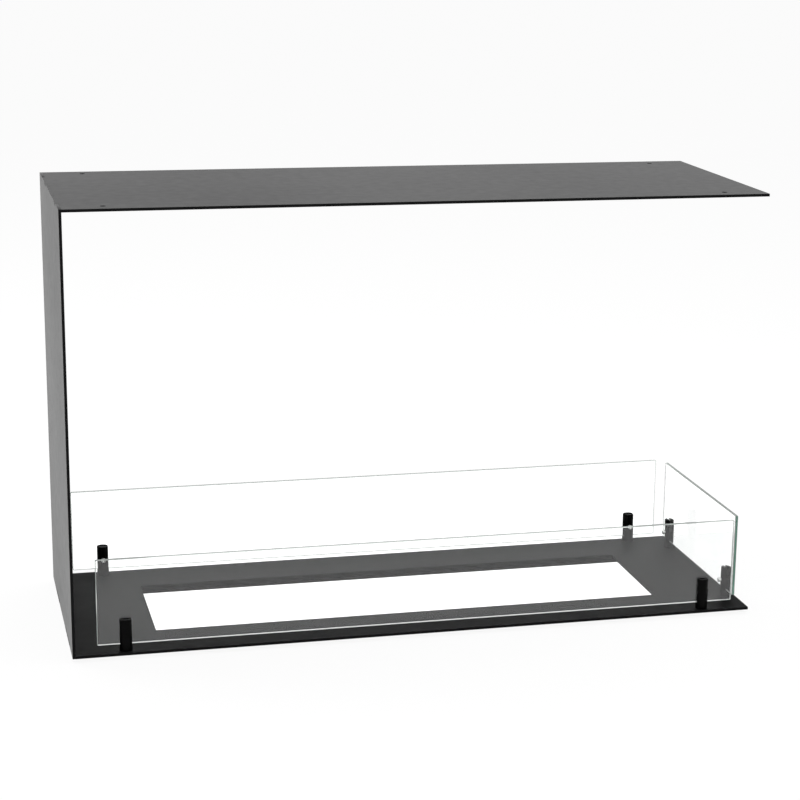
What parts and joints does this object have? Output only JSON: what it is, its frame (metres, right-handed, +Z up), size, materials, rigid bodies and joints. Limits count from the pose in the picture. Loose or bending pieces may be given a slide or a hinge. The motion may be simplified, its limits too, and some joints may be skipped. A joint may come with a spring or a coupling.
{
  "type": "bioethanol fireplace",
  "caption": "C-shaped sheet-steel bioethanol fireplace casing, closed on one side, with a burner cut-out and lift-out glass panes held in slotted posts by clamp screws.",
  "frame": {"origin": "under the middle of the casing, at the underside of the burner rails, the lowest faces", "axes": "+X to the open right side, the closed side panel at -X; +Y to the rear, front at -Y; +Z up"},
  "size_m": [1, 0.366, 0.632],
  "materials": {
    "powder_coated_steel": "matte black fine-texture powder coat on 4 mm sheet steel",
    "black_post": "satin black",
    "clear_glass": "clear toughened float glass with arrissed edges",
    "stainless_steel": "bright stainless",
    "rubber": "matte",
    "nylon": "natural"
  },
  "bodies": {
    "casing": {"top_panel": "powder_coated_steel", "side_panel": "powder_coated_steel", "base_panel": "powder_coated_steel", "burner_rail_front": "powder_coated_steel", "burner_rail_rear": "powder_coated_steel", "post_front_left": "black_post", "foot_screw_front_left": "stainless_steel", "seat_pad_front_left": "rubber", "post_front_right": "black_post", "foot_screw_front_right": "stainless_steel", "seat_pad_front_right": "rubber", "post_rear_left": "black_post", "foot_screw_rear_left": "stainless_steel", "seat_pad_rear_left": "rubber", "post_rear_right": "black_post", "foot_screw_rear_right": "stainless_steel", "seat_pad_rear_right": "rubber", "post_right_front": "black_post", "foot_screw_right_front": "stainless_steel", "seat_pad_right_front": "rubber", "post_right_rear": "black_post", "foot_screw_right_rear": "stainless_steel", "seat_pad_right_rear": "rubber"},
    "glass_front": {"glass_front": "clear_glass"},
    "glass_rear": {"glass_rear": "clear_glass"},
    "glass_right": {"glass_right": "clear_glass"},
    "clamp_tip_front_left": {"clamp_pad_front_left": "nylon"},
    "clamp_screw_front_left": {"clamp_screw_front_left": "stainless_steel"},
    "clamp_tip_front_right": {"clamp_pad_front_right": "nylon"},
    "clamp_screw_front_right": {"clamp_screw_front_right": "stainless_steel"},
    "clamp_tip_rear_left": {"clamp_pad_rear_left": "nylon"},
    "clamp_screw_rear_left": {"clamp_screw_rear_left": "stainless_steel"},
    "clamp_tip_rear_right": {"clamp_pad_rear_right": "nylon"},
    "clamp_screw_rear_right": {"clamp_screw_rear_right": "stainless_steel"},
    "clamp_tip_right_front": {"clamp_pad_right_front": "nylon"},
    "clamp_screw_right_front": {"clamp_screw_right_front": "stainless_steel"},
    "clamp_tip_right_rear": {"clamp_pad_right_rear": "nylon"},
    "clamp_screw_right_rear": {"clamp_screw_right_rear": "stainless_steel"}
  },
  "joints": [
    {"name": "glass_front_lift", "type": "slide", "parent": "casing", "child": "glass_front", "axis": [0, 0, 1], "range_m": [0, 0.06]},
    {"name": "glass_rear_lift", "type": "slide", "parent": "casing", "child": "glass_rear", "axis": [0, 0, 1], "range_m": [0, 0.06]},
    {"name": "glass_right_lift", "type": "slide", "parent": "casing", "child": "glass_right", "axis": [0, 0, 1], "range_m": [0, 0.06]},
    {"name": "clamp_travel_front_left", "type": "slide", "parent": "casing", "child": "clamp_tip_front_left", "axis": [0, 1, 0], "range_m": [0, 0.0021]},
    {"name": "clamp_turn_front_left", "type": "hinge", "parent": "clamp_tip_front_left", "child": "clamp_screw_front_left", "pos_m": [-0.425, -0.17, 0.036], "axis": [0, 1, 0], "range_deg": [0, 1080]},
    {"name": "clamp_travel_front_right", "type": "slide", "parent": "casing", "child": "clamp_tip_front_right", "axis": [0, 1, 0], "range_m": [0, 0.0021]},
    {"name": "clamp_turn_front_right", "type": "hinge", "parent": "clamp_tip_front_right", "child": "clamp_screw_front_right", "pos_m": [0.43, -0.17, 0.036], "axis": [0, 1, 0], "range_deg": [0, 1080]},
    {"name": "clamp_travel_rear_left", "type": "slide", "parent": "casing", "child": "clamp_tip_rear_left", "axis": [0, -1, 0], "range_m": [0, 0.0021]},
    {"name": "clamp_turn_rear_left", "type": "hinge", "parent": "clamp_tip_rear_left", "child": "clamp_screw_rear_left", "pos_m": [-0.425, 0.17, 0.036], "axis": [0, -1, 0], "range_deg": [0, 1080]},
    {"name": "clamp_travel_rear_right", "type": "slide", "parent": "casing", "child": "clamp_tip_rear_right", "axis": [0, -1, 0], "range_m": [0, 0.0021]},
    {"name": "clamp_turn_rear_right", "type": "hinge", "parent": "clamp_tip_rear_right", "child": "clamp_screw_rear_right", "pos_m": [0.43, 0.17, 0.036], "axis": [0, -1, 0], "range_deg": [0, 1080]},
    {"name": "clamp_travel_right_front", "type": "slide", "parent": "casing", "child": "clamp_tip_right_front", "axis": [-1, 0, 0], "range_m": [0, 0.0021]},
    {"name": "clamp_turn_right_front", "type": "hinge", "parent": "clamp_tip_right_front", "child": "clamp_screw_right_front", "pos_m": [0.487, -0.124, 0.036], "axis": [-1, 0, 0], "range_deg": [0, 1080]},
    {"name": "clamp_travel_right_rear", "type": "slide", "parent": "casing", "child": "clamp_tip_right_rear", "axis": [-1, 0, 0], "range_m": [0, 0.0021]},
    {"name": "clamp_turn_right_rear", "type": "hinge", "parent": "clamp_tip_right_rear", "child": "clamp_screw_right_rear", "pos_m": [0.487, 0.124, 0.036], "axis": [-1, 0, 0], "range_deg": [0, 1080]}
  ],
  "couplings": [
    {"joint": "clamp_turn_front_left", "follows": "clamp_travel_front_left", "rad_per_m": 8976},
    {"joint": "clamp_turn_front_right", "follows": "clamp_travel_front_right", "rad_per_m": 8976},
    {"joint": "clamp_turn_rear_left", "follows": "clamp_travel_rear_left", "rad_per_m": 8976},
    {"joint": "clamp_turn_rear_right", "follows": "clamp_travel_rear_right", "rad_per_m": 8976},
    {"joint": "clamp_turn_right_front", "follows": "clamp_travel_right_front", "rad_per_m": 8976},
    {"joint": "clamp_turn_right_rear", "follows": "clamp_travel_right_rear", "rad_per_m": 8976}
  ]
}
